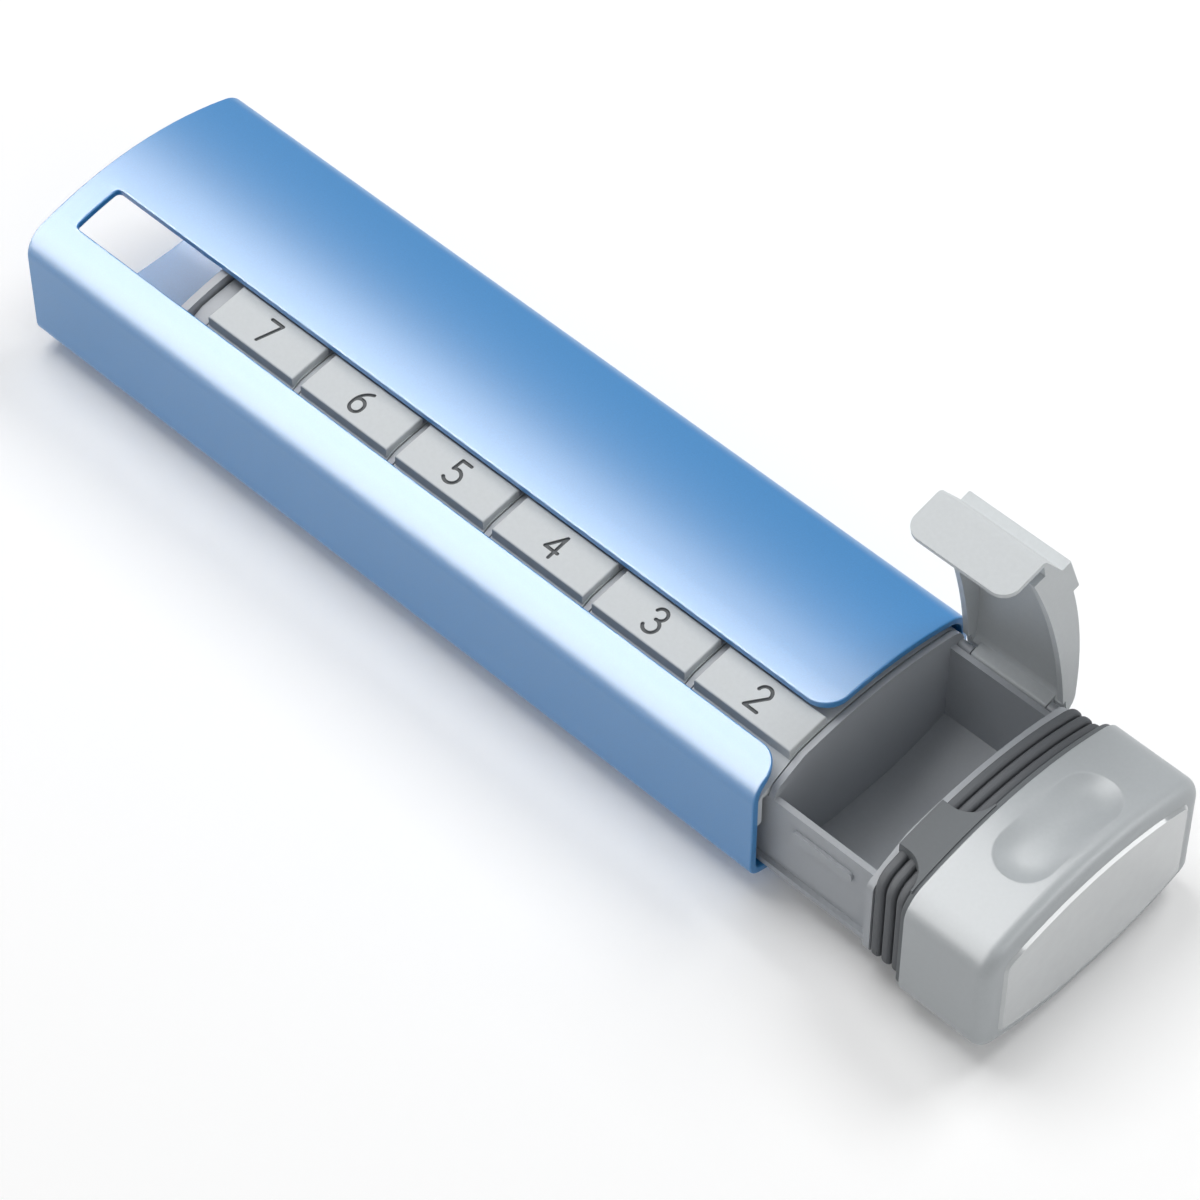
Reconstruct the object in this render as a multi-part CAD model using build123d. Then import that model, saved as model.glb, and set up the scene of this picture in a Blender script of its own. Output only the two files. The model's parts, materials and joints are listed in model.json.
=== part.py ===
from build123d import *
from math import atan2, cos, degrees, hypot, radians, sin, sqrt, tan
import os

# A weekly pill box: seven lidded compartments in a drawer that slides in a metal sleeve.
# Millimetres, +Z up, +X towards the pull cap, +Y towards the lid hinges.
# The origin is the centre of the flat under the sleeve. The drawer is part way out and lid 1 is open.

# Compartments
compartment_count = 7
compartment_pitch = 22.0
partition_thickness = 1.1

# Sleeve, an aluminium extrusion open at both ends
sleeve_width = 49.5
sleeve_height = 30.5
sleeve_wall = 1.4
sleeve_crown_radius = 70.0
sleeve_shoulder_radius = 5.5
sleeve_sole_radius = 70.0
sleeve_corner_radius = 3.0
sole_flat_width = 12.0
least_radius = 0.5
sleeve_edge_round = 0.3
slot_width = 9.9
slot_offset = 12.95
slot_rear_margin = 5.3
slot_rear_radius = 1.0
slot_mouth_radius = 4.4

# Drawer in the sleeve
drawer_clearance = 0.3
drawer_extension = 29.5
drawer_rear_recess = 0.8

# Tray
tray_wall = 1.1
tray_floor = 1.3
tray_ledge_height = 6.2
tray_ledge_proud = 0.95
tray_front_wall = 1.3
partition_fold_radius = 2.5
near_rim_drop = 6.1
deck_length = 1.85
latch_rib_length = 12.2
latch_rib_height = 2.0
latch_rib_proud = 0.6
latch_rib_drop = 9.25
latch_rib_round = 0.3

# Lids
lid_open_angle = 78.0
lid_end_gap = 0.25
lid_headroom = 2.05
lid_crown_radius = 85.0
lid_shoulder_radius = 3.9
lid_slope_angle = 25.8
lid_fold_drop = 5.4
lid_fold_radius = 1.6
lid_skin = 1.1
lid_end_wall = 1.1
lid_skirt_depth = 4.85
lid_skirt_radius = 122.0
lid_skirt_offset = 9.0
lid_rim_gap = 0.35
lip_reach = 14.1
lip_thickness = 0.95
lip_corner_radius = 3.0
lip_inset = 0.1
lip_gap = 1.2
latch_bead_height = 0.9
latch_bead_proud = 0.2
latch_bead_gap = 0.2

# Day pads on the lids
pad_length = 20.0
pad_width = 8.2
pad_offset = 11.8
pad_height = 1.6
pad_sink = 0.6
pad_edge_round = 0.3
numeral_height = 4.6
numeral_width = 2.7
numeral_stroke = 0.65
numeral_depth = 0.35

# Hinges along the drawer's far wall
hinge_drop = 6.05
barrel_radius = 1.0
barrel_length = 15.2
barrel_gap = 0.25
hinge_shelf_thickness = 1.0
pin_radius = 0.5
pin_end_gap = 0.2
pin_fit = 0.04

# Rear end plate
rear_plate_thickness = 1.5
rear_plate_clearance = 0.4
rear_plate_standoff = 0.5
rear_spacer_inset = 2.5
rear_peg_radius = 1.5
rear_peg_length = 1.2
rear_peg_spread = 24.0
rear_peg_height = 14.0

# Neck seal, collar and pull cap
seal_fin_count = 3
seal_fin_pitch = 2.1
seal_fin_thickness = 1.75
seal_fin_round = 0.7
seal_fin_height = 1.0
seal_core = 1.3
seal_clearance = 0.15
seal_end_gap = 0.1
spigot_wall = 1.3
spigot_reach = 5.0
spigot_fit = 0.05
flange_thickness = 1.0
flange_inset = 0.5
tongue_gap = 0.2
cap_length = 16.8
cap_front_wall = 3.0
cap_front_round = 2.5
dimple_radius = 5.0
dimple_spread = 14.2
dimple_depth = 0.9
dimple_taper_angle = 45.0
face_plate_inset = 3.6
face_plate_thickness = 1.5
face_plate_proud = 0.5
face_plate_round = 0.4
face_plate_fit = 0.05

# How far cutting solids run past what they cut
overrun = 2.0

# Places that follow from the sizes above, along X
rear_block = partition_thickness / 2 + deck_length + rear_plate_standoff + rear_plate_thickness
seal_length = seal_fin_count * seal_fin_pitch
neck_length = tray_front_wall - partition_thickness / 2 + seal_length + 2 * seal_end_gap
sleeve_length = drawer_rear_recess + rear_block + compartment_count * compartment_pitch + neck_length
sleeve_front = sleeve_length / 2
flange_rear = sleeve_front + drawer_extension
cap_rear = flange_rear + flange_thickness
cap_front = cap_rear + cap_length
front_wall_middle = flange_rear - neck_length
front_wall_face = front_wall_middle - partition_thickness / 2 + tray_front_wall
rear_wall_middle = front_wall_middle - compartment_count * compartment_pitch
deck_rear = rear_wall_middle - partition_thickness / 2 - deck_length
rear_plate_face = deck_rear - rear_plate_standoff
bay_length = compartment_pitch - partition_thickness
lid_length = bay_length - 2 * lid_end_gap

# Places across Y and up Z
half_width = sleeve_width / 2
slot_near = -slot_offset - slot_width / 2
slot_far = -slot_offset + slot_width / 2
drawer_half = half_width - sleeve_wall - drawer_clearance
tray_inset = sleeve_wall + drawer_clearance
sole_middle = sqrt(sleeve_sole_radius**2 - (sole_flat_width / 2) ** 2)
lid_crown = sleeve_height - sleeve_wall - lid_headroom
lid_slope = radians(lid_slope_angle)
lip_outer = drawer_half - lip_inset
lip_inner = lip_outer - lip_thickness
near_outer = lip_inner - lip_gap
near_inner = near_outer - tray_wall
near_rim = lid_crown - near_rim_drop
hinge_y = drawer_half - barrel_radius
hinge_height = lid_crown - hinge_drop
far_outer = hinge_y - barrel_radius - barrel_gap
far_inner = far_outer - tray_wall
far_rim = hinge_height + barrel_radius
shelf_top = hinge_height - barrel_radius - barrel_gap
seal_inset = sleeve_wall + seal_clearance
core_inset = seal_inset + seal_fin_height
spigot_inset = core_inset + seal_core


def arc_about(centre, radius, start, end):
    """Arc from angle start to angle end, in degrees."""
    return CenterArc(centre, radius, start, end - start)


def shoulder_point(half, radius, arch_radius):
    """Centre of a round corner inside an upright side and an arch, from the arch's middle, and its turn."""
    y = half - radius
    rise = sqrt((arch_radius - radius) ** 2 - y**2)
    return y, rise, degrees(atan2(rise, y))


def sleeve_face(inset):
    """The sleeve's outside outline drawn in by inset: arched top and sole, with a narrow flat below."""
    half = half_width - inset
    crown_radius = sleeve_crown_radius - inset
    crown_middle = sleeve_height - sleeve_crown_radius
    shoulder = max(sleeve_shoulder_radius - inset, least_radius)
    y, rise, turn = shoulder_point(half, shoulder, crown_radius)
    top = crown_middle + rise
    sole_radius = sleeve_sole_radius - inset
    corner = max(sleeve_corner_radius - inset, least_radius)
    corner_y, drop, corner_turn = shoulder_point(half, corner, sole_radius)
    low = sole_middle - drop
    flat = sqrt(sole_radius**2 - (sole_middle - inset) ** 2)
    flat_turn = degrees(atan2(sole_middle - inset, flat))
    edges = [
        Line((-flat, inset), (flat, inset)),
        arc_about((0, sole_middle), sole_radius, -flat_turn, -corner_turn),
        arc_about((corner_y, low), corner, -corner_turn, 0),
        Line((half, low), (half, top)),
        arc_about((y, top), shoulder, 0, turn),
        arc_about((0, crown_middle), crown_radius, turn, 180 - turn),
        arc_about((-y, top), shoulder, 180 - turn, 180),
        Line((-half, top), (-half, low)),
        arc_about((-corner_y, low), corner, 180, 180 + corner_turn),
        arc_about((0, sole_middle), sole_radius, 180 + corner_turn, 180 + flat_turn),
    ]
    return make_face(edges)


def slope_height(y, inset):
    """Height at y of the slope on the lids' near side, drawn in by inset."""
    return lid_crown - lid_fold_drop + (y + lip_outer) * tan(lid_slope) - inset / cos(lid_slope)


def lid_outline(near, base, inset, fold):
    """Outline of the closed lids and of the walls between them: arched top, near slope and a fold of given radius."""
    middle = lid_crown - lid_crown_radius
    radius = lid_crown_radius - inset
    far = drawer_half - inset
    shoulder = lid_shoulder_radius - inset
    far_y, far_rise, far_turn = shoulder_point(far, shoulder, radius)
    fold_y = fold - near
    fold_z = slope_height(fold_y, inset) - fold / cos(lid_slope)
    slope_start = (fold_y - fold * sin(lid_slope), fold_z + fold * cos(lid_slope))
    reach = fold + (fold_z - middle) * cos(lid_slope) - fold_y * sin(lid_slope)
    run = sqrt(radius**2 - reach**2)
    meet_y = run * cos(lid_slope) - reach * sin(lid_slope)
    meet_rise = reach * cos(lid_slope) + run * sin(lid_slope)
    edges = [
        Line((-near, base), (far, base)),
        Line((far, base), (far, middle + far_rise)),
        arc_about((far_y, middle + far_rise), shoulder, 0, far_turn),
        arc_about((0, middle), radius, far_turn, degrees(atan2(meet_rise, meet_y))),
        Line((meet_y, middle + meet_rise), slope_start),
        arc_about((fold_y, fold_z), fold, 90 + lid_slope_angle, 180),
        Line((-near, fold_z), (-near, base)),
    ]
    return make_face(edges)


def lid_face(inset, base):
    """The closed lids' outside outline drawn in by inset, down to a given base."""
    return lid_outline(lip_outer - inset, base, inset, lid_fold_radius - inset)


def panel(y_from, y_to, z_from, z_to):
    """Rectangle in Y and Z between two corners."""
    return Pos((y_from + y_to) / 2, (z_from + z_to) / 2) * Rectangle(y_to - y_from, z_to - z_from)


def tray_base_face():
    """The tray's underside with a ledge along each side, solid up to the ledges."""
    ledge = near_outer + tray_ledge_proud
    return sleeve_face(tray_inset) & panel(-ledge, ledge, 0, tray_ledge_height)


def tray_wall_face(near, fold):
    """Outline of a wall across the tray, flush with the lids."""
    return tray_base_face() + (sleeve_face(tray_inset) & lid_outline(near, 0, 0, fold))


def tray_bay_face():
    """Section through a compartment: arched floor, ledges, near and far walls and the hinge shelf."""
    outline = sleeve_face(tray_inset)
    walls = panel(-near_outer, -near_inner, 0, near_rim) + panel(far_inner, far_outer, 0, far_rim)
    shelf = panel(far_inner, drawer_half, shelf_top - hinge_shelf_thickness, shelf_top)
    pocket = sleeve_face(tray_inset + tray_floor) & panel(-near_inner, far_inner, 0, sleeve_height)
    return tray_base_face() + (outline & walls) + shelf - pocket


def slab(face, x_from, x_to):
    """A face drawn in Y and Z, carried along X."""
    return extrude(Plane.YZ.offset(x_from) * face, amount=x_to - x_from)


def block(x_from, x_to, y_from, y_to, z_from, z_to):
    """Box between two corners."""
    size = (x_to - x_from, y_to - y_from, z_to - z_from)
    return Pos((x_from + x_to) / 2, (y_from + y_to) / 2, (z_from + z_to) / 2) * Box(*size)


def rod(x_from, x_to, y, z, radius):
    """Cylinder along X."""
    return slab(Pos(y, z) * Circle(radius), x_from, x_to)


def mouth_plan(x_rear, x_mouth, near, far, flare, rear_radius):
    """Plan of the slot or of the tongue that fills it: a strip that flares at the mouth."""
    flare_x = x_mouth - flare
    edges = [
        arc_about((flare_x, far + flare), flare, 0, -90),
        Line((flare_x, far), (x_rear + rear_radius, far)),
        arc_about((x_rear + rear_radius, far - rear_radius), rear_radius, 90, 180),
        Line((x_rear, far - rear_radius), (x_rear, near + rear_radius)),
        arc_about((x_rear + rear_radius, near + rear_radius), rear_radius, 180, 270),
        Line((x_rear + rear_radius, near), (flare_x, near)),
        arc_about((flare_x, near - flare), flare, 90, 0),
        Line((x_mouth, near - flare), (x_mouth + overrun, near - flare)),
        Line((x_mouth + overrun, near - flare), (x_mouth + overrun, far + flare)),
        Line((x_mouth + overrun, far + flare), (x_mouth, far + flare)),
    ]
    return make_face(edges)


def lid_arch(y):
    """Height of the closed lids' top at y."""
    return lid_crown - lid_crown_radius + sqrt(lid_crown_radius**2 - y**2)


def bay_middle(number):
    """Middle of a compartment along X, where number 1 is next to the cap."""
    return front_wall_middle - (number - 1 / 2) * compartment_pitch


def make_sleeve():
    tube = slab(sleeve_face(0), -sleeve_front, sleeve_front)
    bore = slab(sleeve_face(sleeve_wall), -sleeve_front - overrun, sleeve_front + overrun)
    plan = mouth_plan(-sleeve_front + slot_rear_margin, sleeve_front, slot_near, slot_far,
                      slot_mouth_radius, slot_rear_radius)
    slot = extrude(Plane.XY.offset(sleeve_height / 2) * plan, amount=sleeve_height)
    shell = tube - bore - slot
    rear_rim = shell.faces().sort_by(Axis.X)[0].edges()
    slot_edges = [edge for edge in shell.edges() if runs_along_slot(edge)]
    return fillet(rear_rim + slot_edges, sleeve_edge_round)


def runs_along_slot(edge):
    """True for a long straight edge of the slot. The rounding runs on round its corners and the mouth."""
    middle = edge @ 0.5
    off_slot = min(abs(middle.Y - slot_near), abs(middle.Y - slot_far))
    return edge.length > sleeve_length / 2 and off_slot < sleeve_edge_round


def make_rear_plate():
    face = sleeve_face(sleeve_wall + rear_plate_clearance)
    plate = slab(face, rear_plate_face - rear_plate_thickness, rear_plate_face)
    for side in (-1, 1):
        peg_end = deck_rear + rear_peg_length
        plate += rod(rear_plate_face, peg_end, side * rear_peg_spread / 2, rear_peg_height, rear_peg_radius)
    return plate


def make_tray():
    tray = slab(tray_bay_face(), deck_rear, front_wall_face)
    wall = tray_wall_face(near_outer, partition_fold_radius)
    for k in range(1, compartment_count + 1):
        middle = front_wall_middle - k * compartment_pitch
        tray += slab(wall, middle - partition_thickness / 2, middle + partition_thickness / 2)
    tray += slab(wall, deck_rear, deck_rear + deck_length)
    front_wall = tray_wall_face(drawer_half, lid_fold_radius)
    tray += slab(front_wall, front_wall_face - tray_front_wall, front_wall_face)
    tray += make_spigot()
    spacer = sleeve_face(tray_inset + rear_spacer_inset)
    tray += slab(spacer & panel(-near_inner, far_inner, 0, near_rim), rear_plate_face, deck_rear)
    for number in range(1, compartment_count + 1):
        middle = bay_middle(number)
        tray += latch_rib(middle)
        for knuckle in knuckles(middle):
            tray += knuckle
        reach = bay_length / 2 - pin_end_gap / 2
        tray -= rod(middle - reach, middle + reach, hinge_y, hinge_height, pin_radius + pin_fit)
    for side in (-1, 1):
        y = side * rear_peg_spread / 2
        hole_end = deck_rear + rear_peg_length + pin_end_gap
        tray -= rod(rear_plate_face - overrun, hole_end, y, rear_peg_height, rear_peg_radius + pin_fit)
    return tray


def make_spigot():
    """Hollow nose of the tray that carries the seal and the collar and holds the cap."""
    end = cap_rear + spigot_reach
    outside = slab(sleeve_face(spigot_inset), front_wall_face, end)
    return outside - slab(sleeve_face(spigot_inset + spigot_wall), front_wall_face, end + overrun)


def latch_rib(middle):
    """Bar on the tray's near wall that the lid's lip clicks over."""
    top = lid_crown - latch_rib_drop
    face = RectangleRounded(latch_rib_length, latch_rib_height, latch_rib_height / 2 - latch_rib_round)
    plane = Plane((middle, -near_outer, top - latch_rib_height / 2), x_dir=(1, 0, 0), z_dir=(0, -1, 0))
    return extrude(plane * face, amount=latch_rib_proud)


def knuckles(middle):
    """The two ears that hold the ends of one hinge pin."""
    for side in (-1, 1):
        inner = middle + side * (barrel_length / 2 + barrel_gap)
        outer = middle + side * (bay_length / 2)
        low, high = min(inner, outer), max(inner, outer)
        ear = rod(low, high, hinge_y, hinge_height, barrel_radius)
        ear += block(low, high, far_outer, hinge_y, shelf_top, hinge_height)
        yield ear + block(low, high, hinge_y, drawer_half, shelf_top, hinge_height)


def numeral_strokes(number):
    """Pen strokes of a plain numeral, in shares of its width and height from its lower left corner."""
    stroke_shares = {
        1: [[(0.15, 0.78), (0.55, 1)], [(0.55, 1), (0.55, 0)]],
        2: [[(0.03, 0.76), (0.5, 1), (0.93, 0.68)], [(0.93, 0.68), (0.02, 0)], [(0.02, 0), (1, 0)]],
        3: [[(0.05, 0.85), (0.86, 0.76), (0.4, 0.54)], [(0.4, 0.54), (0.97, 0.27), (0.02, 0.13)]],
        4: [[(0.75, 0), (0.75, 1)], [(0.75, 1), (0, 0.3)], [(0, 0.3), (1, 0.3)]],
        5: [[(0.9, 1), (0.18, 1)], [(0.18, 1), (0.12, 0.56)], [(0.12, 0.56), (0.97, 0.31), (0.03, 0.1)]],
        6: [[(0.82, 0.97), (0.2, 0.66), (0.06, 0.29)], [(0.06, 0.29), (0.5, 0), (0.94, 0.29)],
            [(0.94, 0.29), (0.5, 0.58), (0.06, 0.29)]],
        7: [[(0.03, 1), (0.97, 1)], [(0.97, 1), (0.35, 0)]],
    }
    for points in stroke_shares[number]:
        yield [((x - 1 / 2) * numeral_width, (y - 1 / 2) * numeral_height) for x, y in points]


def numeral_cutter(number, plane):
    """Solid that engraves one numeral into the top of a pad."""
    cutter = None
    for points in numeral_strokes(number):
        line = Line(*points) if len(points) == 2 else ThreePointArc(*points)
        marks = [trace(line, numeral_stroke)]
        marks += [Pos(*points[0]) * Circle(numeral_stroke / 2), Pos(*points[-1]) * Circle(numeral_stroke / 2)]
        for mark in marks:
            solid = extrude(plane * mark, amount=numeral_depth, both=True)
            cutter = solid if cutter is None else cutter + solid
    return cutter


def make_pad(middle, number):
    """Raised day pad, with its numeral engraved."""
    near, far = -pad_offset - pad_width / 2, -pad_offset + pad_width / 2
    near_top, far_top = lid_arch(near) + pad_height, lid_arch(far) + pad_height
    near_foot, far_foot = slope_height(near, 0) - pad_sink, lid_arch(far) - pad_sink
    corners = [(near, near_foot), (far, far_foot), (far, far_top), (near, near_top)]
    face = make_face(Polyline(*corners, close=True))
    pad = slab(face, middle - pad_length / 2, middle + pad_length / 2)
    top = pad.faces().sort_by(Axis.Z)[-1]
    pad = fillet(top.edges(), pad_edge_round)
    run, rise = far - near, far_top - near_top
    slope = hypot(run, rise)
    centre = (middle, (near + far) / 2, (near_top + far_top) / 2)
    plane = Plane(centre, x_dir=(1, 0, 0), z_dir=(0, -rise / slope, run / slope))
    return pad - numeral_cutter(number, plane)


def make_lid(number):
    """One lid, closed: arched skin, end walls, near lip with its bead, hinge barrel and pad."""
    middle = bay_middle(number)
    rear, front = middle - lid_length / 2, middle + lid_length / 2
    low = lid_crown - lip_reach
    lid = slab(lid_face(0, low), rear, front)
    lid -= slab(lid_face(lid_skin, low - overrun), rear + lid_end_wall, front - lid_end_wall)
    under_middle = lid_crown - lid_skirt_depth - lid_skirt_radius
    under = rod(rear - overrun, front + overrun, lid_skirt_offset, under_middle, lid_skirt_radius)
    near_stop, far_stop = near_inner - lid_rim_gap, far_inner - lid_rim_gap
    lid -= under & block(rear - overrun, front + overrun, -lip_inner, drawer_half + overrun, 0, lid_crown)
    lid -= block(rear - overrun, front + overrun, -lip_inner, -near_stop, 0, near_rim + lid_rim_gap)
    lid -= block(rear - overrun, front + overrun, far_stop, drawer_half + overrun, 0, far_rim + lid_rim_gap)
    lid -= lip_corners(rear, front, low)
    barrel_rear, barrel_front = middle - barrel_length / 2, middle + barrel_length / 2
    web_top = far_rim + lid_rim_gap + lid_skin
    web = lid_face(0, low) & panel(hinge_y - barrel_radius, drawer_half, hinge_height, web_top)
    lid += slab(web, barrel_rear, barrel_front)
    lid += rod(barrel_rear, barrel_front, hinge_y, hinge_height, barrel_radius)
    lid -= rod(barrel_rear - overrun, barrel_front + overrun, hinge_y, hinge_height, pin_radius + pin_fit)
    bead_top = lid_crown - latch_rib_drop - latch_rib_height - latch_bead_gap
    bead_rear, bead_front = middle - latch_rib_length / 2, middle + latch_rib_length / 2
    bead_face = -lip_inner + latch_bead_proud
    lid += block(bead_rear, bead_front, -lip_inner, bead_face, bead_top - latch_bead_height, bead_top)
    return lid + make_pad(middle, number)


def lip_corners(rear, front, low):
    """What is cut away to round the two free corners of the lip."""
    size = lip_corner_radius
    corners = None
    for x, way in ((rear, 1), (front, -1)):
        x_in = x + way * size
        square = block(min(x, x_in), max(x, x_in), -lip_outer - overrun, -lip_inner + overrun, low, low + size)
        disc = Cylinder(size, lip_thickness + 4 * overrun, rotation=(90, 0, 0))
        corner = square - Pos(x_in, -lip_outer, low + size) * disc
        corners = corner if corners is None else corners + corner
    return corners


def make_pin(number):
    middle = bay_middle(number)
    reach = bay_length / 2 - pin_end_gap
    return rod(middle - reach, middle + reach, hinge_y, hinge_height, pin_radius)


def opened(solid):
    """A closed lid's piece swung up about the hinge line by the open angle."""
    return solid.rotate(Axis((0, hinge_y, hinge_height), (1, 0, 0)), -lid_open_angle)


def tongue_prism(x_rear, gap):
    """Upright prism over the plan of the slot's mouth, smaller by gap all round."""
    plan = mouth_plan(x_rear, flange_rear, slot_near + gap, slot_far - gap,
                      slot_mouth_radius + gap, least_radius)
    return extrude(Plane.XY.offset(sleeve_height / 2) * plan, amount=sleeve_height)


def make_seal():
    rear = front_wall_face + seal_end_gap
    front = rear + seal_length
    seal = slab(sleeve_face(core_inset), rear, front)
    fins = None
    for k in range(seal_fin_count):
        middle = rear + (k + 1 / 2) * seal_fin_pitch
        fin = slab(sleeve_face(seal_inset), middle - seal_fin_thickness / 2, middle + seal_fin_thickness / 2)
        rims = fin.faces().filter_by(Axis.X).edges()
        fin = fillet(rims, seal_fin_round)
        fins = fin if fins is None else fins + fin
    seal += fins - tongue_prism(front_wall_face - overrun, 0)
    return seal - slab(sleeve_face(spigot_inset - spigot_fit), rear - overrun, front + overrun)


def make_collar():
    collar = slab(sleeve_face(flange_inset), flange_rear, cap_rear)
    band = slab(sleeve_face(tongue_gap), front_wall_face, flange_rear)
    band -= slab(sleeve_face(core_inset - spigot_fit), front_wall_face - overrun, flange_rear + overrun)
    collar += band & tongue_prism(front_wall_face + seal_end_gap, tongue_gap)
    return collar - slab(sleeve_face(spigot_inset - spigot_fit), flange_rear - overrun, cap_rear + overrun)


def make_cap():
    cap = slab(sleeve_face(0), cap_rear, cap_front)
    cap = fillet(cap.faces().sort_by(Axis.X)[-1].edges(), cap_front_round)
    cap -= slab(sleeve_face(spigot_inset - spigot_fit), cap_rear - overrun, cap_front - cap_front_wall)
    pocket = cap_front - face_plate_thickness + face_plate_proud
    cap -= slab(sleeve_face(face_plate_inset - face_plate_fit), pocket, cap_front + overrun)
    plane = Plane.XY.offset(sleeve_height + dimple_depth)
    plan = Rot(0, 0, 90) * SlotCenterToCenter(dimple_spread, 2 * (dimple_radius + dimple_depth))
    scoop = extrude(plane * (Pos((cap_rear + cap_front) / 2, 0) * plan), amount=-3 * dimple_depth,
                    taper=dimple_taper_angle)
    return cap - (scoop - slab(sleeve_face(dimple_depth), cap_rear, cap_front))


def make_face_plate():
    pocket = cap_front - face_plate_thickness + face_plate_proud
    plate = slab(sleeve_face(face_plate_inset), pocket, pocket + face_plate_thickness)
    return fillet(plate.faces().sort_by(Axis.X)[-1].edges(), face_plate_round)


os.makedirs("parts", exist_ok=True)
pieces = {
    "sleeve": make_sleeve(),
    "tray": make_tray(),
    "rear_end_plate": make_rear_plate(),
    "neck_seal": make_seal(),
    "neck_collar": make_collar(),
    "end_cap": make_cap(),
    "cap_face_plate": make_face_plate(),
}
for number in range(1, compartment_count + 1):
    lid, pin = make_lid(number), make_pin(number)
    if number == 1:
        lid, pin = opened(lid), opened(pin)
    pieces[f"lid_{number}"] = lid
    pieces[f"hinge_pin_{number}"] = pin
for name, piece in pieces.items():
    export_step(piece, f"parts/{name}.step")
    print(name, round(piece.volume, 1))
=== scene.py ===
# %% [markdown]
# # A weekly pill box
# The box is a drawer of seven lidded compartments in an arched metal sleeve.
# The solids come from the CAD frame, in metres, with +X towards the pull cap and +Z up.
# This script gives them smooth skins and finishes, then adds a floor, lamps and a camera.

import json

import bmesh
import bpy
import numpy as np
from mathutils import Matrix, Vector


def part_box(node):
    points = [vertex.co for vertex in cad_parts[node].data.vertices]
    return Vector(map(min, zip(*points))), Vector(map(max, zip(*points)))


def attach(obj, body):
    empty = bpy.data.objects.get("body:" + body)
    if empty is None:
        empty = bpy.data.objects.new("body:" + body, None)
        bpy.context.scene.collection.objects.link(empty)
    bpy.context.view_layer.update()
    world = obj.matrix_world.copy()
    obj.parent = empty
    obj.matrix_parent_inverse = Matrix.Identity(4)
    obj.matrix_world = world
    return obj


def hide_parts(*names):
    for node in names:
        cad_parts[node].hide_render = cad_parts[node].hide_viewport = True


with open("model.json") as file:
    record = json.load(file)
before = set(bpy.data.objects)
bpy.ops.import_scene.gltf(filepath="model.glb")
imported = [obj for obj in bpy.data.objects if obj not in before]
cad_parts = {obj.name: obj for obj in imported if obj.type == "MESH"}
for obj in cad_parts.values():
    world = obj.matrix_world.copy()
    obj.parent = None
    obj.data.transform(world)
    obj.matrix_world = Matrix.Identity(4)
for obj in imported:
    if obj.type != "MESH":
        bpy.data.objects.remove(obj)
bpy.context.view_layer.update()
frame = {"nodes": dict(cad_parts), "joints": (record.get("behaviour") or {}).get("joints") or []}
nodes = frame["nodes"]
MM = 0.001


def side_lengths(low, high):
    """Sides of a box in millimetres, for printing."""
    return [round((b - a) / MM, 1) for a, b in zip(low, high)]


# %% [markdown]
# ## Sizes read from the frame
# A skin has to lie exactly where its solid lies. So lengths are read from the solids' boxes,
# and only what no box shows, such as a radius, is written here, in millimetres.


# %% Sizes
def span(node):
    """Lowest and highest corner of a CAD node, in millimetres."""
    low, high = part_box(node)
    return np.array(low) / MM, np.array(high) / MM


sleeve_low, sleeve_high = span("sleeve")
seal_low, seal_high = span("neck_seal")
collar_low, collar_high = span("neck_collar")
cap_low, cap_high = span("end_cap")
plate_low, plate_high = span("cap_face_plate")

half_width = sleeve_high[1]
height = sleeve_high[2]
crown_radius = 70.0
sole_radius = 70.0
shoulder_radius = 5.5
corner_radius = 3.0
sole_flat = 12.0
least_radius = 0.5
crown_middle = height - crown_radius
sole_middle = np.sqrt(sole_radius**2 - (sole_flat / 2) ** 2)
print("sleeve", side_lengths(sleeve_low * MM, sleeve_high * MM))

# %% [markdown]
# ## The outline that runs through the whole box
# Sleeve, seal, collar, cap and face plate share one outline: an arched top, round shoulders,
# upright sides and an arched sole. It could be a list of points, but arcs about their centres
# keep it exact, because drawing the outline in changes every radius and moves no arch. So one
# function with whole arrays of angles serves every piece.


# %% Outline
def arc(y, z, radius, start, end, count):
    """Points (y + r cos a, z + r sin a) for angles a from start to end."""
    turn = np.linspace(start, end, count)
    return np.column_stack([y + radius * np.cos(turn), z + radius * np.sin(turn)])


def corner_place(half, radius, arch_radius):
    """Centre of a round corner that touches an upright side and an arch.

    It lies a radius inside the side, and arch radius less radius from the arch's centre.
    The third value is the angle at which the corner meets the arch.
    """
    y = half - radius
    rise = np.sqrt((arch_radius - radius) ** 2 - y**2)
    return y, rise, np.arctan2(rise, y)


def lower_outline(inset, fine):
    """The outline below the arch, from the near shoulder round the sole to the far one.

    It is six arcs: shoulder, corner and half of the sole, then the same the other way round.
    """
    half = half_width - inset
    shoulder = max(shoulder_radius - inset, least_radius)
    y, rise, turn = corner_place(half, shoulder, crown_radius - inset)
    top = crown_middle + rise
    corner = max(corner_radius - inset, least_radius)
    corner_y, drop, corner_turn = corner_place(half, corner, sole_radius - inset)
    low = sole_middle - drop
    sole = sole_radius - inset
    flat_turn = np.arccos(np.sqrt(sole**2 - (sole_middle - inset) ** 2) / sole)
    return np.vstack([
        arc(-y, top, shoulder, np.pi - turn, np.pi, fine),
        arc(-corner_y, low, corner, np.pi, np.pi + corner_turn, fine)[:-1],
        arc(0, sole_middle, sole, np.pi + corner_turn, np.pi + flat_turn, fine),
        arc(0, sole_middle, sole, -flat_turn, -corner_turn, fine)[:-1],
        arc(corner_y, low, corner, -corner_turn, 0, fine),
        arc(y, top, shoulder, 0, turn, fine),
    ]), turn


def ring(inset, fine=14, top_count=90):
    """The closed outline drawn in by inset, starting and ending at the near shoulder."""
    lower, turn = lower_outline(inset, fine)
    arch = arc(0, crown_middle, crown_radius - inset, turn, np.pi - turn, top_count)
    return np.vstack([lower, arch[1:-1]])


print("outline points", len(ring(0)))

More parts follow.
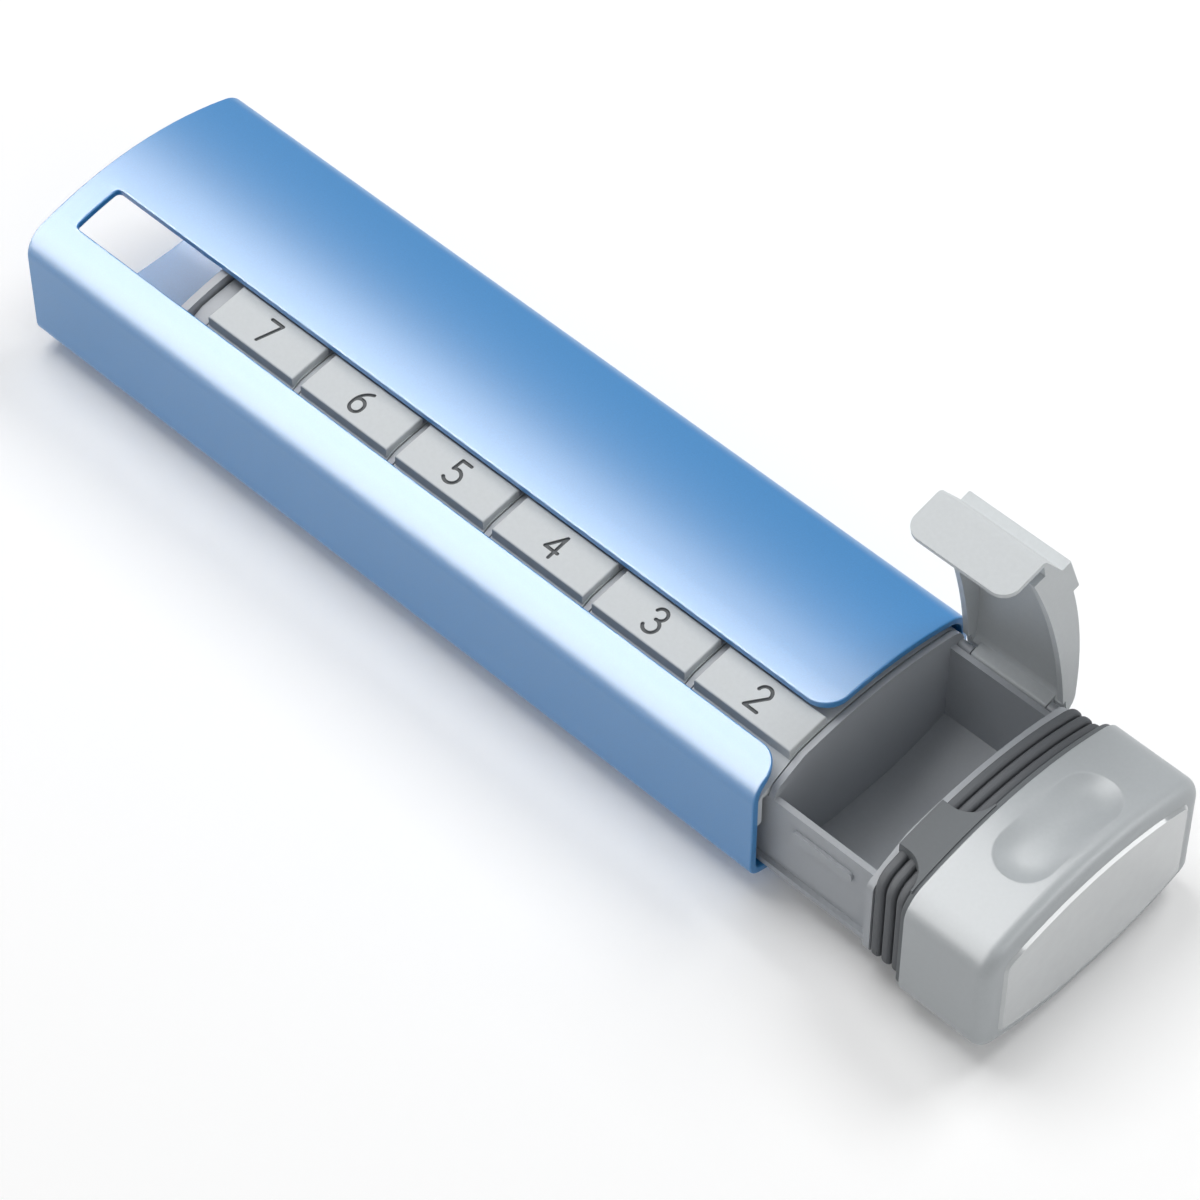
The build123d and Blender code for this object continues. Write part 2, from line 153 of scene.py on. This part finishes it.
# %% [markdown]
# ## Meshes from rings
# A stack of rings with equal counts becomes a skin: every point joins its neighbour in the
# ring and the same point in the next ring. A loop over the points could do that, but here the
# index sums are one numpy expression, which stays quick for tens of thousands of faces.


# %% Shells
def stack(sections):
    """Joins rings (x, ring) into a tube: vertex k of ring i is the point (x_i, y_k, z_k)."""
    points = np.vstack([np.column_stack([np.full(len(r), x), r]) for x, r in sections])
    rows, count = len(sections), len(sections[0][1])
    i = np.arange(rows - 1)[:, None] * count
    j = np.arange(count)[None, :]
    k = (j + 1) % count
    quads = np.stack([i + j, i + k, i + k + count, i + j + count], axis=-1)
    return points, quads.reshape(-1, 4).tolist()


def capped(sections):
    """A stack of rings with its two ends closed by flat faces."""
    points, faces = stack(sections)
    count = len(sections[0][1])
    last = len(points) - count
    return points, faces + [list(range(count)), list(range(last, last + count))]


def joined(*shells):
    """Several shells in one list of points and faces."""
    starts = np.cumsum([0] + [len(points) for points, _ in shells])
    faces = [[v + int(s) for v in f] for s, (_, fs) in zip(starts, shells) for f in fs]
    return np.vstack([points for points, _ in shells]), faces


print("faces between two rings", len(stack([(0.0, ring(0)), (1.0, ring(0))])[1]))

# %% [markdown]
# A mesh becomes a piece in the same steps every time. Doubles are merged, faces of a new shell
# are turned outwards, and shading is smooth up to a sharp angle. Then the piece gets its finish,
# it is hung on an empty for the body it rides on, and the solid it stands for is hidden.

# %% Pieces
SMOOTH_ANGLE = np.radians(22)
MERGE_DISTANCE = 0.002 * MM


def settle(mesh, turn_out=True):
    """Merges doubles, turns faces outwards and shades smoothly between sharp edges."""
    imported = mesh.attributes.get("custom_normal")
    if imported:
        mesh.attributes.remove(imported)
    work = bmesh.new()
    work.from_mesh(mesh)
    bmesh.ops.remove_doubles(work, verts=work.verts, dist=MERGE_DISTANCE)
    if turn_out:
        bmesh.ops.recalc_face_normals(work, faces=work.faces)
    work.to_mesh(mesh)
    work.free()
    mesh.shade_smooth()
    mesh.set_sharp_from_angle(angle=SMOOTH_ANGLE)


def place(name, mesh, body, material, node):
    """Links a mesh, gives it its finish and body, and lets it stand for a CAD node.

    Weighted normals let large faces lead, so flats stay flat beside their rounded edges.
    """
    piece = bpy.data.objects.new(name, mesh)
    bpy.context.scene.collection.objects.link(piece)
    mesh.materials.clear()
    mesh.materials.append(material)
    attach(piece, body)
    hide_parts(node)
    modifier = piece.modifiers.new("weighted normals", "WEIGHTED_NORMAL")
    modifier.keep_sharp = True
    return piece


def skin(name, shell, body, material, node):
    """A new piece from points in millimetres and faces."""
    points, faces = shell
    mesh = bpy.data.meshes.new(name)
    mesh.from_pydata((points * MM).tolist(), [], faces)
    settle(mesh)
    print(name, len(mesh.polygons), "faces")
    return place(name, mesh, body, material, node)


print("smooth up to", round(np.degrees(SMOOTH_ANGLE)), "degrees")

# %% [markdown]
# ## Finishes
# All finishes are procedural and read Object coordinates, so nothing slides when a piece
# moves. Satin metal and moulded plastic both have a fine grain. An image could carry it, but
# noise has no seams. It is one node group, fed with a scale, and it puts out a toned colour,
# a height for the bump and a roughness that varies a little.


# %% Node helpers
def feed(tree, source, socket):
    """Links an output to a socket, or sets the socket to a plain number."""
    if isinstance(source, bpy.types.NodeSocket):
        tree.links.new(source, socket)
    else:
        socket.default_value = source


def math_node(tree, operation, first, second):
    """Output of a math node with two outputs or numbers."""
    node = tree.nodes.new("ShaderNodeMath")
    node.operation = operation
    feed(tree, first, node.inputs[0])
    feed(tree, second, node.inputs[1])
    return node.outputs[0]


def map_node(tree, value, start, end, smooth=False):
    """Output of a map range node that carries the pair start to the pair end."""
    node = tree.nodes.new("ShaderNodeMapRange")
    if smooth:
        node.interpolation_type = "SMOOTHSTEP"
    feed(tree, value, node.inputs["Value"])
    sockets = ("From Min", "From Max", "To Min", "To Max")
    for socket_name, source in zip(sockets, (*start, *end)):
        feed(tree, source, node.inputs[socket_name])
    return node.outputs["Result"]


print("node helpers: feed, math_node and map_node")

# %% Grain group
NOISE_RANGE = (0.25, 0.75)
NOISE_DETAIL = 2.0

grain = bpy.data.node_groups.new("fine grain", "ShaderNodeTree")
for way, names in (("INPUT", ("Scale", "Roughness", "Spread", "Tone", "Colour")),
                   ("OUTPUT", ("Colour", "Height", "Roughness"))):
    for socket_name in names:
        kind = "NodeSocketColor" if socket_name == "Colour" else "NodeSocketFloat"
        grain.interface.new_socket(name=socket_name, in_out=way, socket_type=kind)
taken = grain.nodes.new("NodeGroupInput").outputs
given = grain.nodes.new("NodeGroupOutput").inputs
coordinates = grain.nodes.new("ShaderNodeTexCoord")
speckle = grain.nodes.new("ShaderNodeTexNoise")
feed(grain, coordinates.outputs["Object"], speckle.inputs["Vector"])
feed(grain, taken["Scale"], speckle.inputs["Scale"])
feed(grain, NOISE_DETAIL, speckle.inputs["Detail"])
noise = speckle.outputs["Fac"]
smoothest = math_node(grain, "SUBTRACT", taken["Roughness"], taken["Spread"])
roughest = math_node(grain, "ADD", taken["Roughness"], taken["Spread"])
darkest = math_node(grain, "SUBTRACT", 1.0, taken["Tone"])
palest = math_node(grain, "ADD", 1.0, taken["Tone"])
toned = grain.nodes.new("ShaderNodeVectorMath")
toned.operation = "SCALE"
feed(grain, taken["Colour"], toned.inputs["Vector"])
feed(grain, map_node(grain, noise, NOISE_RANGE, (darkest, palest)), toned.inputs["Scale"])
feed(grain, toned.outputs["Vector"], given["Colour"])
feed(grain, noise, given["Height"])
feed(grain, map_node(grain, noise, NOISE_RANGE, (smoothest, roughest)), given["Roughness"])
print("group", grain.name, len(grain.nodes), "nodes")

# %% [markdown]
# A finish is a Principled shader with the grain on its colour, roughness and normal.
# Numbers that are the same all over, such as a coat, go straight onto the shader.

# %% Finish helper
GRAIN_HEIGHT = 0.02 * MM
SOCKETS = {
    "metallic": "Metallic",
    "ior": "IOR",
    "specular": "Specular IOR Level",
    "coat": "Coat Weight",
    "coat_roughness": "Coat Roughness",
    "coat_ior": "Coat IOR",
}


def linear(*levels):
    """Display levels from 0 to 255 as the linear colour that renders to them.

    This is the sRGB curve: x / 12.92 near black, and ((x + 0.055) / 1.055)^2.4 above it.
    """
    share = np.array(levels) / 255
    low, high = share / 12.92, ((share + 0.055) / 1.055) ** 2.4
    return (*np.where(share <= 0.04045, low, high), 1.0)


def finish(name, levels, roughness, spread, scale, bump, tone=0.02, **constants):
    """Principled finish with the grain group on its colour, roughness and normal."""
    material = bpy.data.materials.new(name)
    material.use_nodes = True
    tree = material.node_tree
    shader = tree.nodes["Principled BSDF"]
    for socket_name, value in constants.items():
        shader.inputs[SOCKETS[socket_name]].default_value = value
    texture = tree.nodes.new("ShaderNodeGroup")
    texture.node_tree = grain
    inputs = {"Scale": scale, "Roughness": roughness, "Spread": spread, "Tone": tone,
              "Colour": linear(*levels)}
    for socket_name, value in inputs.items():
        texture.inputs[socket_name].default_value = value
    relief = tree.nodes.new("ShaderNodeBump")
    relief.inputs["Strength"].default_value = bump
    relief.inputs["Distance"].default_value = GRAIN_HEIGHT
    feed(tree, texture.outputs["Colour"], shader.inputs["Base Color"])
    feed(tree, texture.outputs["Height"], relief.inputs["Height"])
    feed(tree, texture.outputs["Roughness"], shader.inputs["Roughness"])
    feed(tree, relief.outputs["Normal"], shader.inputs["Normal"])
    return material


print("a finish can set", sorted(SOCKETS))

# %% [markdown]
# The sleeve looks like satin aluminium with a blue dyed skin: an even blue, with a long pale
# sheen along its near shoulder. A metal shader would tint that sheen as deep a blue as the
# rest. So the blue is a matt base, and a rough clear coat over it carries the sheen.
#
# The tray, lids, collar and cap are moulded plastic in four greys with a faint grain, and the
# cap is a little smoother. Its face plate is glossy, and the seal is rubber with a rougher,
# duller skin. The hinge pins hardly show and are taken to be steel wire.

# %% Finishes
PLASTIC_GRAIN = 1500.0
blue_metal = finish("blue anodised aluminium", (42, 129, 192), roughness=0.46, spread=0.03,
                    scale=4000.0, bump=0.25, tone=0.06, specular=0.1, coat=1.0,
                    coat_roughness=0.4, coat_ior=1.75)
tray_grey = finish("tray grey", (168, 172, 177), roughness=0.5, spread=0.05,
                   scale=PLASTIC_GRAIN, bump=0.1, specular=0.25)
lid_grey = finish("lid pale grey", (202, 206, 208), roughness=0.5, spread=0.05,
                  scale=PLASTIC_GRAIN, bump=0.1, specular=0.1)
collar_grey = finish("collar grey", (112, 116, 119), roughness=0.55, spread=0.05,
                     scale=PLASTIC_GRAIN, bump=0.1, specular=0.08)
cap_grey = finish("cap grey", (171, 176, 179), roughness=0.42, spread=0.04,
                  scale=PLASTIC_GRAIN, bump=0.06, ior=1.6, specular=0.4)
face_gloss = finish("glossy face", (184, 188, 190), roughness=0.08, spread=0.02,
                    scale=400.0, bump=0.02, coat=1.0)
seal_rubber = finish("seal rubber", (90, 93, 97), roughness=0.7, spread=0.06,
                     scale=1800.0, bump=0.4, specular=0.25)
pin_steel = finish("pin steel", (200, 200, 200), roughness=0.3, spread=0.04,
                   scale=2500.0, bump=0.1, metallic=1.0)
print("finishes", [material.name for material in bpy.data.materials])

# %% [markdown]
# Each pad has a numeral sunk into it, and its lines look darker than the pad round them. They
# could be filled with pieces of their own, but the solids already hold the grooves. So a value
# stored on the mesh, called groove, says where they are, and it mixes in a darker grey. That
# grey is painted shade: the darkening that falls in the narrow grooves.

# %% Numeral grooves
# Painted shade: the darker grey given to the numeral grooves wherever groove is 1.
groove_shade_levels = (92, 95, 98)
lid_tree = lid_grey.node_tree
lid_base = lid_tree.nodes["Principled BSDF"].inputs["Base Color"]
lid_colour = lid_base.links[0].from_socket
groove = lid_tree.nodes.new("ShaderNodeAttribute")
groove.attribute_name = "groove"
# Mixes the painted groove shade into the lid's own grey.
mark = lid_tree.nodes.new("ShaderNodeMix")
mark.data_type = "RGBA"
mark.inputs["B"].default_value = linear(*groove_shade_levels)
feed(lid_tree, lid_colour, mark.inputs["A"])
feed(lid_tree, groove.outputs["Fac"], mark.inputs["Factor"])
feed(lid_tree, mark.outputs["Result"], lid_base)
print("lid finish", len(lid_tree.nodes), "nodes")

# %% [markdown]
# ## The ribbed seal
# A dark ring with three fins sits on the drawer's neck, to grip the sleeve when the drawer is
# shut. It could be three rings round a tube. Here the shared outline is carried along x while
# its inset follows a profile, in to the core, out over a fin and in again, because that gives
# the fins the sleeve's own arched form.


# %% Edges
def edge_profile(x_from, x_to, inset, radius, steps=5):
    """Places and insets of a plate with both edges rounded by quarter circles.

    At angle a, the place is r (1 - cos a) in from the plate's face and the edge is drawn in
    by r (1 - sin a).
    """
    turn = np.linspace(0, np.pi / 2, steps)
    along = radius * (1 - np.cos(turn))
    drawn = radius * (1 - np.sin(turn))
    x = np.concatenate([x_from + along, x_to - along[::-1]])
    return x, inset + np.concatenate([drawn, drawn[::-1]])


def rounded_plate(x_from, x_to, inset, radius, steps=5):
    """The outline as a plate between two places along x. Two steps give a chamfer."""
    profile = edge_profile(x_from, x_to, inset, radius, steps)
    return capped([(x, ring(i)) for x, i in zip(*profile)])


print("a rounded plate has", len(edge_profile(0.0, 1.0, 0.0, 0.2)[0]), "rings")

# %% Seal
fin_count = 3
fin_thickness = 1.75
fin_round = 0.7
fin_height = 1.0
seal_inset = half_width - seal_high[1]
core_inset = seal_inset + fin_height
fin_pitch = (seal_high[0] - seal_low[0]) / fin_count
fin_middles = seal_low[0] + (np.arange(fin_count) + 0.5) * fin_pitch
fin_x, fin_in = edge_profile(-fin_thickness / 2, fin_thickness / 2, seal_inset, fin_round)
fin_x = np.concatenate([fin_x[:1], fin_x, fin_x[-1:]])
fin_in = np.concatenate([[core_inset], fin_in, [core_inset]])
fins = (fin_middles[:, None] + fin_x).ravel()
seal_x = np.concatenate([[seal_low[0]], fins, [seal_high[0]]])
seal_in = np.concatenate([[core_inset], np.tile(fin_in, fin_count), [core_inset]])
seal_shell = capped([(x, ring(i)) for x, i in zip(seal_x, seal_in)])
skin("ribbed_seal", seal_shell, "drawer", seal_rubber, "neck_seal")

# %% [markdown]
# ## The collar and its tongue
# Against the cap sits a thin flange. A tongue runs back from it, to fill the flared mouth of
# the sleeve's slot when the drawer is shut. It could be cut from a plate, but as rows across
# the arch it keeps the sleeve's curve, and each row is widened along a quarter circle, as the
# slot's edges are.

# %% Collar and tongue
slot_near, slot_far = -17.9, -8.0
slot_flare = 4.4
flare_steps = 13
tongue_gap = 0.2
tongue_depth = 2.0
tongue_chamfer = 0.15
tongue_overlap = 0.3
flange_thickness = 1.0
flange_round = 0.2
flange_inset = half_width - collar_high[1]
flange_rear = collar_high[0] - flange_thickness
tongue_flare = slot_flare + tongue_gap
tongue_near, tongue_far = slot_near + tongue_gap, slot_far - tongue_gap


def crown_height(y, inset):
    """Height of the arched top at y: the upper half of the crown circle, drawn in."""
    return crown_middle + np.sqrt((crown_radius - inset) ** 2 - y**2)


def tongue_row(x, back=0.0, drop=0.0, count=40):
    """A strip of the arch across the tongue, widened by back, its top lowered by drop."""
    y = np.linspace(tongue_near - back, tongue_far + back, count)
    top = np.column_stack([y, crown_height(y, tongue_gap + drop)])
    below = np.column_stack([y[::-1], crown_height(y[::-1], tongue_gap + tongue_depth)])
    return x, np.vstack([top, below])


tongue_rows = [tongue_row(collar_low[0], drop=tongue_chamfer),
               tongue_row(collar_low[0] + tongue_chamfer)]
for turn in np.linspace(0, np.pi / 2, flare_steps):
    x = flange_rear - tongue_flare * (1 - np.sin(turn))
    tongue_rows.append(tongue_row(x, back=tongue_flare * (1 - np.cos(turn))))
tongue_rows.append(tongue_row(flange_rear + tongue_overlap, back=tongue_flare))
flange_shell = rounded_plate(flange_rear, collar_high[0], flange_inset, flange_round)
skin("collar_and_tongue", joined(flange_shell, capped(tongue_rows)), "drawer",
     collar_grey, "neck_collar")

# %% [markdown]
# ## The pull cap
# The cap is a moulded block with a round front edge and a thumb dimple across its top. The
# dimple is a stadium: its two ends are crisp, and between them its long sides fade out softly.
# A boolean cut would leave a hard rim all round, so the depth is a function of x and y, taken
# straight off the height of the points on the arch.

# %% Dimple
dimple_reach = 7.1
dimple_radius = 5.2
dimple_depth = 1.25
dimple_wall = 4.2
dimple_fade = 1.0
dimple_soft = 1.6
cap_middle = (cap_low[0] + cap_high[0]) / 2


def smooth_step(value):
    """The curve 3t^2 - 2t^3 with t held between 0 and 1."""
    t = np.clip(value, 0, 1)
    return t * t * (3 - 2 * t)


def dimple(x, y):
    """Depth of the thumb dimple at a place of the arch.

    With s the distance inside the stadium's rim and w the wall, its ends are a bowl,
    1 - (1 - s / w)^2, and its middle is a trough of the same depth, a smooth step of s.
    A smooth step of |y| leads from the trough to the bowl.
    """
    past = np.maximum(np.abs(y) - dimple_reach, 0)
    inside = dimple_radius - np.hypot(x - cap_middle, past)
    crisp = smooth_step((np.abs(y) - dimple_fade) / (dimple_reach - dimple_fade))
    bowl = 1 - np.clip(1 - inside / dimple_wall, 0, 1) ** 2
    trough = smooth_step((inside + dimple_soft) / (dimple_radius + dimple_soft))
    return dimple_depth * (crisp * bowl + (1 - crisp) * trough)


print("dimple depth in the middle", round(float(dimple(cap_middle, 0.0)), 2))

# %% Pull cap
cap_round = 2.5
rear_round = 0.25
body_rows = 70
pocket_depth = 1.0
pocket_gap = 0.3
face_inset = half_width - plate_high[1]
front_turn = np.linspace(0, np.pi / 2, num=12)
rear_turn = np.linspace(0, np.pi / 2, num=4)


def cap_section(x, inset):
    """The outline at one place of the cap, with the dimple taken off its arch."""
    outline = ring(inset, fine=18, top_count=260)
    on_top = outline[:, 1] > height / 2
    outline[:, 1] -= np.where(on_top, dimple(x, outline[:, 0]), 0)
    return x, outline


cap_x = np.concatenate([
    [cap_low[0]],
    cap_low[0] + rear_round * (1 - np.cos(rear_turn)),
    np.linspace(cap_low[0] + rear_round, cap_high[0] - cap_round, body_rows)[1:-1],
    cap_high[0] - cap_round * (1 - np.sin(front_turn)),
    [cap_high[0], cap_high[0] - pocket_depth],
])
cap_in = np.concatenate([
    [face_inset],
    rear_round * (1 - np.sin(rear_turn)),
    np.zeros(body_rows - 2),
    cap_round * (1 - np.cos(front_turn)),
    [face_inset + pocket_gap] * 2,
])
cap_shell = capped([cap_section(x, i) for x, i in zip(cap_x, cap_in)])
skin("pull_cap", cap_shell, "drawer", cap_grey, "end_cap")

# %% [markdown]
# A glossy plate is set into the cap's front, and its upper edge shows as one bright line. A
# round edge would spread that line and a flat facet keeps it narrow, so the edge is a chamfer.

# %% Glossy face
face_chamfer = 0.5
face_shell = rounded_plate(plate_low[0], plate_high[0], face_inset, face_chamfer, steps=2)
skin("glossy_face", face_shell, "drawer", face_gloss, "cap_face_plate")

# %% [markdown]
# ## Sleeve, drawer and lids
# The sleeve is a tube with a slot, as extruding and milling would make it. The tray, the lids
# and the end plate are moulded, with flat walls and crisp steps. They could be built again
# from arrays, but the solids already hold all of that. Their frame meshes are loose triangles,
# so a merged copy of each is shaded smoothly between its sharp edges and stands for the solid.


# %% Merged copies
def merged_copy(node, body, material):
    """A copy of a CAD node with its triangles joined."""
    mesh = nodes[node].data.copy()
    settle(mesh, turn_out=False)
    print(node, len(mesh.polygons), "faces")
    return place(f"{node}_skin", mesh, body, material, node)


merged_copy("sleeve", "sleeve", blue_metal)
merged_copy("tray", "drawer", tray_grey)
merged_copy("rear_end_plate", "drawer", tray_grey)

# %% [markdown]
# A lid's numeral could be picked out face by face, but it is found by height, which works for
# every numeral. With the lid shut, the pad's top is a straight slope between two heights on
# the lid's arch. A point about a groove's depth below that slope, away from the pad's rim, is
# in the numeral. Lid 1 stands open in the frame, so its points are turned shut first.

# %% Grooves by height
lid_hinge = next(joint for joint in frame["joints"] if joint["name"] == "lid_1_hinge")
hinge_y, hinge_z = (np.array(lid_hinge["pos_m"]) / MM)[1:]
open_angle = np.radians(-lid_hinge["range_deg"][0])
lid_crown, lid_radius = 27.05, 85.0
pad_length, pad_width, pad_middle, pad_height = 20.0, 8.2, -11.8, 1.6
pad_rim = 0.6
numeral_depth = 0.35
least_share, most_share = 0.5, 1.5


def closed_places(points, number):
    """Points of a lid in millimetres, lid 1 swung shut: y and z turn about the hinge line."""
    angle = open_angle if number == 1 else 0.0
    y, z = points[:, 1] - hinge_y, points[:, 2] - hinge_z
    return np.column_stack([points[:, 0], hinge_y + y * np.cos(angle) - z * np.sin(angle),
                            hinge_z + y * np.sin(angle) + z * np.cos(angle)])


def mark_groove(piece, number):
    """Sets groove to 1 on the points that lie below a pad's sloping top, inside its rim."""
    mesh = piece.data
    points = np.empty(len(mesh.vertices) * 3, np.float32)
    mesh.vertices.foreach_get("co", points)
    shut = closed_places(points.reshape(-1, 3) / MM, number)
    middle_x = (shut[:, 0].min() + shut[:, 0].max()) / 2
    ends = pad_middle + np.array([-1, 1]) * pad_width / 2
    tops = lid_crown - lid_radius + np.sqrt(lid_radius**2 - ends**2) + pad_height
    share = (np.interp(shut[:, 1], ends, tops) - shut[:, 2]) / numeral_depth
    sunk = (share > least_share) & (share < most_share)
    sunk &= np.abs(shut[:, 0] - middle_x) < pad_length / 2 - pad_rim
    sunk &= np.abs(shut[:, 1] - pad_middle) < pad_width / 2 - pad_rim
    values = mesh.attributes.new("groove", "FLOAT", "POINT").data
    values.foreach_set("value", sunk.astype(np.float32))
    return int(sunk.sum())


print("lid 1 stands open by", round(np.degrees(open_angle)), "degrees")

# %% Lids and hinge pins
lid_count = sum(name.startswith("lid_") for name in nodes)
for number in range(1, lid_count + 1):
    lid = merged_copy(f"lid_{number}", f"lid_{number}", lid_grey)
    print("lid", number, "groove points", mark_groove(lid, number))
    merged_copy(f"hinge_pin_{number}", f"lid_{number}", pin_steel)

# %% [markdown]
# ## Floor
# The ground is white with a soft shadow. A bright sheet alone goes grey far from the lamps,
# and more light would bleach the box. So the floor glows, little near the box, where the
# shadow lies, and more with distance. It glows only for rays that show it, from the camera or
# by way of a mirror or glass, so it adds no diffuse light.

# %% Floor sheet
floor_half = 3.0
corners = np.array([(-1, -1, 0), (1, -1, 0), (1, 1, 0), (-1, 1, 0)]) * floor_half
floor_mesh = bpy.data.meshes.new("floor")
floor_mesh.from_pydata(corners.tolist(), [], [(0, 1, 2, 3)])
floor = bpy.data.objects.new("floor", floor_mesh)
bpy.context.scene.collection.objects.link(floor)
print("floor", 2 * floor_half, "m square")

# %% Floor white
floor_albedo = 0.92
floor_roughness = 0.9
floor_specular = 0.1
glow_reach = (0.16, 1.4)
glow_strength = (0.08, 0.7)


def any_ray(tree, *kinds):
    """Output that is 1 for a ray of any of the named kinds, else 0."""
    path = tree.nodes.new("ShaderNodeLightPath")
    found = path.outputs[kinds[0]]
    for kind in kinds[1:]:
        found = math_node(tree, "MAXIMUM", found, path.outputs[kind])
    return found


floor_white = bpy.data.materials.new("floor white")
floor_white.use_nodes = True
floor_tree = floor_white.node_tree
floor_shader = floor_tree.nodes["Principled BSDF"]
floor_shader.inputs["Base Color"].default_value = (*[floor_albedo] * 3, 1)
floor_shader.inputs["Roughness"].default_value = floor_roughness
floor_shader.inputs["Specular IOR Level"].default_value = floor_specular
floor_place = floor_tree.nodes.new("ShaderNodeTexCoord")
distance = floor_tree.nodes.new("ShaderNodeVectorMath")
distance.operation = "LENGTH"
feed(floor_tree, floor_place.outputs["Object"], distance.inputs[0])
rise = map_node(floor_tree, distance.outputs["Value"], glow_reach, glow_strength)
shown = any_ray(floor_tree, "Is Camera Ray", "Is Glossy Ray", "Is Transmission Ray")
glow = floor_tree.nodes.new("ShaderNodeEmission")
feed(floor_tree, math_node(floor_tree, "MULTIPLY", shown, rise), glow.inputs["Strength"])
floor_sum = floor_tree.nodes.new("ShaderNodeAddShader")
feed(floor_tree, floor_shader.outputs["BSDF"], floor_sum.inputs[0])
feed(floor_tree, glow.outputs["Emission"], floor_sum.inputs[1])
floor_end = floor_tree.nodes["Material Output"]
feed(floor_tree, floor_sum.outputs["Shader"], floor_end.inputs["Surface"])
floor_mesh.materials.append(floor_white)
print("floor white", len(floor_tree.nodes), "nodes")

# %% [markdown]
# ## World
# Round the box is a pale studio. It could be one even white, but then the sleeve's satin top
# would be flat. So the camera sees white, reflections see a studio that is brighter on the
# near side than on the far side, and every other ray gets a weak, even fill.

# %% World
fill_strength = 0.34
white_strength = 1.0
mirror_side = (-0.2, 0.85)
mirror_strength = (1.0, 0.35)
mirror_grey = 0.8

world = bpy.data.worlds.new("studio")
bpy.context.scene.world = world
world.use_nodes = True
world_tree = world.node_tree
world_tree.nodes.clear()


def background(strength, grey=1.0):
    """Output of a background with a strength and a grey, which is white at 1."""
    node = world_tree.nodes.new("ShaderNodeBackground")
    node.inputs["Color"].default_value = (grey, grey, grey, 1)
    feed(world_tree, strength, node.inputs["Strength"])
    return node.outputs["Background"]


def choose(ray, other, this):
    """Output of a mix that gives this where the ray is 1, and other where it is 0."""
    node = world_tree.nodes.new("ShaderNodeMixShader")
    for socket, source in zip(node.inputs, (ray, other, this)):
        feed(world_tree, source, socket)
    return node.outputs["Shader"]


direction = world_tree.nodes.new("ShaderNodeTexCoord")
split = world_tree.nodes.new("ShaderNodeSeparateXYZ")
feed(world_tree, direction.outputs["Generated"], split.inputs["Vector"])
fade = map_node(world_tree, split.outputs["Y"], mirror_side, mirror_strength, smooth=True)
mirrored = choose(any_ray(world_tree, "Is Glossy Ray", "Is Transmission Ray"),
                  background(fill_strength), background(fade, mirror_grey))
studio = choose(any_ray(world_tree, "Is Camera Ray"), mirrored, background(white_strength))
world_end = world_tree.nodes.new("ShaderNodeOutputWorld")
feed(world_tree, studio, world_end.inputs["Surface"])
print("world", len(world_tree.nodes), "nodes")

# %% [markdown]
# ## Lamps
# A satin tube needs two kinds of light: soft lamps for form and shadow, and white cards that
# show as a sheen. One lamp could do both, but then the sheen would move with the shadow. So
# the soft lamps are left out of reflections, and the cards light nothing but reflections.


# %% Lamps
def soft_lamp(name, at, target, size, radiance, diffuse=True, glossy=True, along=(1, 0, 0)):
    """A rectangular area lamp that faces a target, with its first side along a direction.

    Its power is radiance times pi times its area, so the number says how bright it looks.
    """
    data = bpy.data.lights.new(name, "AREA")
    data.shape = "RECTANGLE"
    data.size, data.size_y = size
    data.energy = radiance * np.pi * size[0] * size[1]
    lamp = bpy.data.objects.new(name, data)
    back = (Vector(at) - Vector(target)).normalized()
    across = back.cross(Vector(along)).normalized()
    turned = Matrix((across.cross(back), across, back)).transposed()
    lamp.matrix_world = Matrix.Translation(at) @ turned.to_4x4()
    lamp.visible_camera = False
    lamp.visible_diffuse = diffuse
    lamp.visible_glossy = glossy
    bpy.context.scene.collection.objects.link(lamp)
    return lamp


middle = (0.02, 0.0, 0.02)
face_middle = (0.131, 0.0, 0.02)
soft_lamp("top light", at=(-0.35, 0.0, 0.95), target=middle, size=(0.6, 0.6),
          radiance=4.0, glossy=False)
soft_lamp("key from the far side", at=(0.15, 0.58, 0.82), target=middle, size=(0.4, 0.4),
          radiance=6.9, glossy=False)
soft_lamp("front fill", at=(0.95, -0.05, 0.45), target=face_middle, size=(0.5, 0.5),
          radiance=1.3, glossy=False)
sheen = soft_lamp("sheen card by the near shoulder", at=(-0.357, -0.368, 0.613),
                  target=middle, size=(0.9, 2.0), radiance=10.2, diffuse=False)
# Sampled only as a lamp, so that none of its light reaches the matt layer under the gloss.
sheen.data.cycles.use_multiple_importance_sampling = False
soft_lamp("thin card before the face", at=(0.733, 0.353, 0.351), target=face_middle,
          size=(0.66, 0.22), radiance=6.0, diffuse=False, along=(-0.337, 0.88, -0.33))
print("lamps", [lamp.name for lamp in bpy.data.lights])

# %% [markdown]
# ## Camera
# The camera has the photograph's viewing angle. It could be set by eye, but its place,
# direction and lens were solved from the box's own edges, so that the two lie over each other.

# %% Camera
camera_data = bpy.data.cameras.new("camera")
camera_data.lens = 137.1
camera_data.sensor_width = 36.0
camera = bpy.data.objects.new("camera", camera_data)
azimuth, elevation = np.radians(44.182), np.radians(50.207)
camera.location = (0.358875, -0.34165, 0.57479)
back = Vector((np.sin(azimuth) * np.cos(elevation), -np.cos(azimuth) * np.cos(elevation),
               np.sin(elevation)))
camera.rotation_euler = back.to_track_quat("Z", "Y").to_euler()
bpy.context.scene.collection.objects.link(camera)
bpy.context.scene.camera = camera
bpy.context.scene.view_settings.view_transform = "Standard"
print("camera", round(camera.location.length, 3), "m from the origin")
